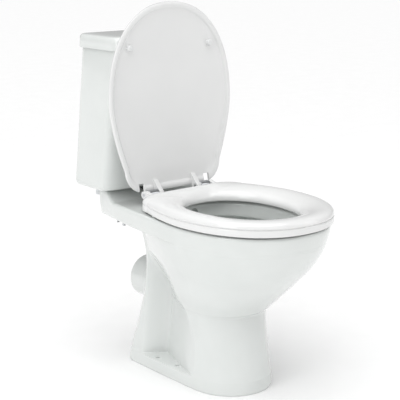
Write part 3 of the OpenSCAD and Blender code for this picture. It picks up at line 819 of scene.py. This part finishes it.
def make_buffers(name, spots, base, height):
    """Soft round feet that are pressed into a seat or lid, in pairs left and right."""
    foot = [(0, 0), (5.2, 0), (6.6, 0.9), (7.1, 2.4), (8, height), (0, height)]
    parts = []
    for x, y in spots:
        for side in (-1, 1):
            parts.append(turned("foot", foot, (side * x, y, base), UP, 0.8, 40))
    return joined(name, parts)


RING_BUFFERS, RING_BUFFER_HEIGHT = [(128, -215), (150, 5)], 24.7
LID_BUFFERS, LID_BUFFER_HEIGHT = [(118, -230)], 11


# ---- Hinges and flush button ----


BARREL_R, BARREL_BORE_R = 10, 6.5


def make_post(side):
    x = side * HINGE_X
    word = "right" if side > 0 else "left"
    post = turned(f"hinge_post_{word}_chrome", [
        (3, RIM), (17, RIM), (17, RIM + 3), (16, RIM + 3.3), (11, RIM + 7), (8.4, RIM + 8.4),
        (8, RIM + 11), (8, AXIS_Z), (3, AXIS_Z),
    ], (x, AXIS_Y, 0), UP, 0.7, 72)
    middle = (x, AXIS_Y, AXIS_Z)
    barrel = turned("barrel", rod(BARREL_R, -BARREL_HALF, BARREL_HALF), middle, ACROSS, 1.1, 72)
    combine(post, [barrel], "UNION")
    combine(post, [lathe("bore", rod(BARREL_BORE_R, -30, 30), middle, ACROSS, 48)], "DIFFERENCE")
    return post


def make_bezel():
    top = bezel_high.z
    flange = top - 4
    low = bezel_low.z
    return turned("button_bezel_chrome", [
        (15, low), (19.6, low), (19.6, flange), (24, flange), (24, flange + 2), (21.5, top),
        (18.6, top), (17.4, top - 0.7), (17.4, low + 8), (15, low + 8),
    ], (0, BUTTON_Y, 0), UP, 0.7, 96)


def make_key(name, node):
    """One part of the divided button: a piece of a dished disc on one side of a straight gap."""
    low, high = box_mm(node)
    r = 17
    top = high.z
    disc = turned(name, [
        (0, low.z), (r, low.z), (r, top - 1.2), (r - 0.4, top - 0.4), (r - 1.4, top), (r - 5, top - 0.35),
        (r * 0.3, top - 0.9), (0, top - 1),
    ], (0, BUTTON_Y, 0), UP, 0.5, 96)
    far = 60
    right = high.x > -low.x
    spare = (-far, low.x) if right else (high.x, far)
    cutter = block("half", (spare[0], BUTTON_Y - 40, low.z - 5), (spare[1], BUTTON_Y + 40, top + 5))
    combine(disc, [cutter], "DIFFERENCE")
    soft_edges(disc, 0.35, 3, 40)
    apply_modifiers(disc, 30)
    return disc


# ---- Materials ----


def new_material(name):
    material = bpy.data.materials.new(name)
    material.use_nodes = True
    nodes = material.node_tree.nodes
    nodes.clear()
    output = nodes.new("ShaderNodeOutputMaterial")
    shader = nodes.new("ShaderNodeBsdfPrincipled")
    material.node_tree.links.new(shader.outputs["BSDF"], output.inputs["Surface"])
    return material, nodes, material.node_tree.links, shader


def noise_node(nodes, links, scale, detail=4, stretch=None):
    coords = nodes.new("ShaderNodeTexCoord")
    noise = nodes.new("ShaderNodeTexNoise")
    noise.inputs["Scale"].default_value = scale
    noise.inputs["Detail"].default_value = detail
    source = coords.outputs["Object"]
    if stretch:
        mapping = nodes.new("ShaderNodeMapping")
        mapping.inputs["Scale"].default_value = stretch
        links.new(source, mapping.inputs["Vector"])
        source = mapping.outputs["Vector"]
    links.new(source, noise.inputs["Vector"])
    return noise


def ranged(nodes, links, source, low, high, from_low=0.35, from_high=0.65):
    node = nodes.new("ShaderNodeMapRange")
    node.inputs["From Min"].default_value = from_low
    node.inputs["From Max"].default_value = from_high
    node.inputs["To Min"].default_value = low
    node.inputs["To Max"].default_value = high
    links.new(source, node.inputs["Value"])
    return node.outputs["Result"]


def surface(name, colour, shade, rough, grain, bump, wave=None, edge=0.0, metallic=0.0, coat=0.0,
            coat_rough=0.03, stretch=None, ior=1.5):
    """A material with colour variation, roughness variation, a fine bump and worn or thin edges.

    colour and shade: the two ends of its colour; rough: low and high roughness; grain: scale of the fine bump
    """
    material, nodes, links, shader = new_material(name)
    shader.inputs["Metallic"].default_value = metallic
    shader.inputs["IOR"].default_value = ior
    shader.inputs["Coat Weight"].default_value = coat
    shader.inputs["Coat Roughness"].default_value = coat_rough

    broad = noise_node(nodes, links, 9, 3)
    ramp = nodes.new("ShaderNodeMixRGB")
    ramp.inputs["Color1"].default_value = (*colour, 1)
    ramp.inputs["Color2"].default_value = (*shade, 1)
    links.new(ranged(nodes, links, broad.outputs["Fac"], 0, 1), ramp.inputs["Fac"])
    tint = ramp.outputs["Color"]
    if edge:
        geometry = nodes.new("ShaderNodeNewGeometry")
        edges = nodes.new("ShaderNodeMixRGB")
        edges.blend_type = "MULTIPLY"
        edges.inputs["Color2"].default_value = (1 - edge, 1 - edge, 1 - edge, 1)
        links.new(ranged(nodes, links, geometry.outputs["Pointiness"], 0, 1, 0.52, 0.62), edges.inputs["Fac"])
        links.new(tint, edges.inputs["Color1"])
        tint = edges.outputs["Color"]
    links.new(tint, shader.inputs["Base Color"])

    patchy = noise_node(nodes, links, 28, 5, stretch)
    links.new(ranged(nodes, links, patchy.outputs["Fac"], rough[0], rough[1]), shader.inputs["Roughness"])

    fine = noise_node(nodes, links, grain, 3, stretch)
    bumps = nodes.new("ShaderNodeBump")
    bumps.inputs["Strength"].default_value = bump
    bumps.inputs["Distance"].default_value = 0.0004
    links.new(fine.outputs["Fac"], bumps.inputs["Height"])
    if wave:
        slow = noise_node(nodes, links, wave[0], 2)
        waves = nodes.new("ShaderNodeBump")
        waves.inputs["Strength"].default_value = wave[1]
        waves.inputs["Distance"].default_value = 0.002
        links.new(slow.outputs["Fac"], waves.inputs["Height"])
        links.new(waves.outputs["Normal"], bumps.inputs["Normal"])
    links.new(bumps.outputs["Normal"], shader.inputs["Normal"])
    return material


MATERIALS = {
    "china": surface(
        "china_glaze", (0.735, 0.758, 0.744), (0.705, 0.73, 0.715), (0.06, 0.11), 420, 0.05,
        wave=(14, 0.05), edge=-0.03, coat=0.6, coat_rough=0.03,
    ),
    "seat_plastic": surface(
        "duroplast", (0.80, 0.803, 0.80), (0.78, 0.784, 0.781), (0.12, 0.18), 700, 0.05,
        wave=(10, 0.03), edge=-0.02, coat=0.35, coat_rough=0.06,
    ),
    "buffer": surface(
        "soft_buffer", (0.78, 0.79, 0.79), (0.74, 0.75, 0.75), (0.45, 0.6), 900, 0.2, edge=0.05,
    ),
    "rubber": surface(
        "black_rubber", (0.035, 0.035, 0.037), (0.05, 0.05, 0.052), (0.5, 0.7), 800, 0.3, edge=-0.2,
    ),
    "steel": surface(
        "zinc_steel", (0.62, 0.63, 0.64), (0.53, 0.54, 0.56), (0.25, 0.42), 500, 0.25,
        metallic=1.0, edge=-0.1, stretch=(1, 1, 6),
    ),
    "chrome": surface(
        "polished_chrome", (0.5, 0.51, 0.525), (0.43, 0.44, 0.455), (0.05, 0.12), 600, 0.04,
        metallic=1.0, edge=-0.1, stretch=(5, 1, 1),
    ),
    "valve_white": surface(
        "white_moulding", (0.78, 0.8, 0.82), (0.74, 0.76, 0.78), (0.35, 0.5), 500, 0.15, edge=-0.05,
    ),
    "valve_blue": surface(
        "blue_moulding", (0.1, 0.2, 0.36), (0.08, 0.17, 0.32), (0.35, 0.5), 500, 0.15, edge=-0.1,
    ),
    "damper_grey": surface(
        "grey_moulding", (0.2, 0.21, 0.22), (0.17, 0.18, 0.19), (0.35, 0.5), 500, 0.15, edge=-0.1,
    ),
    "dark_plastic": surface(
        "black_moulding", (0.03, 0.03, 0.032), (0.045, 0.045, 0.047), (0.35, 0.55), 500, 0.2, edge=-0.2,
    ),
}


def dress(obj, slot_name):
    obj.data.materials.clear()
    obj.data.materials.append(MATERIALS[slot_name])


body_of_node = {n: b for b, nodes in record["behaviour"]["bodies"].items() for n in nodes}
slot_of_node = {s["node"]: s["material_slot"] for s in record["subparts"]}
replaced = set()


def stands_for(obj, node):
    """obj rides where the node rides, takes its finish and replaces it."""
    replaced.add(node)
    dress(obj, slot_of_node[node])
    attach(obj, body_of_node[node])
    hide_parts(node)


# ---- Building ----

stands_for(make_pan(), "pan")
stands_for(make_cistern(), "cistern")
stands_for(make_cistern_lid(), "cistern_lid")
stands_for(make_ring(), "seat_ring")
stands_for(make_lid(), "seat_lid")
stands_for(make_post(-1), "hinge_post_left")
stands_for(make_post(1), "hinge_post_right")
stands_for(make_bezel(), "button_bezel")
stands_for(make_key("full_key_chrome", "full_flush_button"), "full_flush_button")
stands_for(make_key("half_key_chrome", "half_flush_button"), "half_flush_button")
ring_feet = make_buffers("ring_buffers_soft", RING_BUFFERS, RIM + 0.3, RING_BUFFER_HEIGHT)
stands_for(ring_feet, "ring_buffers")
lid_feet = make_buffers("lid_buffers_soft", LID_BUFFERS, LID_UNDER - 3, LID_BUFFER_HEIGHT)
stands_for(swung_open(lid_feet), "lid_buffers")

for node, obj in frame["nodes"].items():
    if node in replaced:
        continue
    material = MATERIALS[slot_of_node[node]]
    for slot in obj.material_slots:
        slot.material = material

# ---- Floor, light and camera ----


FLOOR_HALF = 40000


def make_floor():
    size = FLOOR_HALF
    points = [(-size, -size, 0), (size, -size, 0), (size, size, 0), (-size, size, 0)]
    floor = object_from("floor", points, [(0, 1, 2, 3)])
    floor.location.z = cad_low[2]
    pale = surface("pale_floor", (0.97, 0.97, 0.97), (0.955, 0.955, 0.955), (0.6, 0.75), 60, 0.05)
    floor.data.materials.append(pale)


def area_light(name, place, target, size, power):
    data = bpy.data.lights.new(name, "AREA")
    data.shape = "RECTANGLE"
    data.size, data.size_y = size
    data.energy = power
    lamp = bpy.data.objects.new(name, data)
    lamp.location = place
    lamp.rotation_mode = "QUATERNION"
    lamp.rotation_quaternion = (Vector(target) - Vector(place)).to_track_quat("-Z", "Y")
    bpy.context.scene.collection.objects.link(lamp)


def make_light():
    world = bpy.data.worlds.new("studio")
    bpy.context.scene.world = world
    world.use_nodes = True
    background = world.node_tree.nodes["Background"]
    background.inputs["Color"].default_value = (1, 1, 1, 1)
    background.inputs["Strength"].default_value = 0.42
    sun = bpy.data.lights.new("overhead", "SUN")
    sun.energy = 2.15
    sun.angle = math.radians(70)
    lamp = bpy.data.objects.new("overhead", sun)
    lamp.rotation_euler = (math.radians(8), math.radians(-14), 0)
    bpy.context.scene.collection.objects.link(lamp)
    area_light("left_softbox", (-2.4, -0.4, 1.5), (0, 0, 0.45), (1.0, 1.8), 12)
    area_light("right_softbox", (1.8, -2.2, 1.6), (0, 0, 0.4), (1.2, 1.8), 9)


CAMERA_AT = Vector((-1733, -1997, 1023)) * MM
CAMERA_AZIMUTH, CAMERA_PITCH = math.radians(-40.55), math.radians(13.35)
LENS_MM = 106.56


def make_camera():
    """The camera stands to the front left and looks down a little."""
    data = bpy.data.cameras.new("camera")
    data.sensor_width = 36
    data.lens = LENS_MM
    data.shift_y = 0.024
    data.clip_end = 60
    camera = bpy.data.objects.new("camera", data)
    level = math.cos(CAMERA_PITCH)
    back = Vector((
        math.sin(CAMERA_AZIMUTH) * level, -math.cos(CAMERA_AZIMUTH) * level, math.sin(CAMERA_PITCH),
    ))
    camera.location = CAMERA_AT
    camera.rotation_mode = "QUATERNION"
    camera.rotation_quaternion = (-back).to_track_quat("-Z", "Y")
    bpy.context.scene.collection.objects.link(camera)
    bpy.context.scene.camera = camera


make_floor()
make_light()
make_camera()
bpy.context.scene.view_settings.view_transform = "Standard"
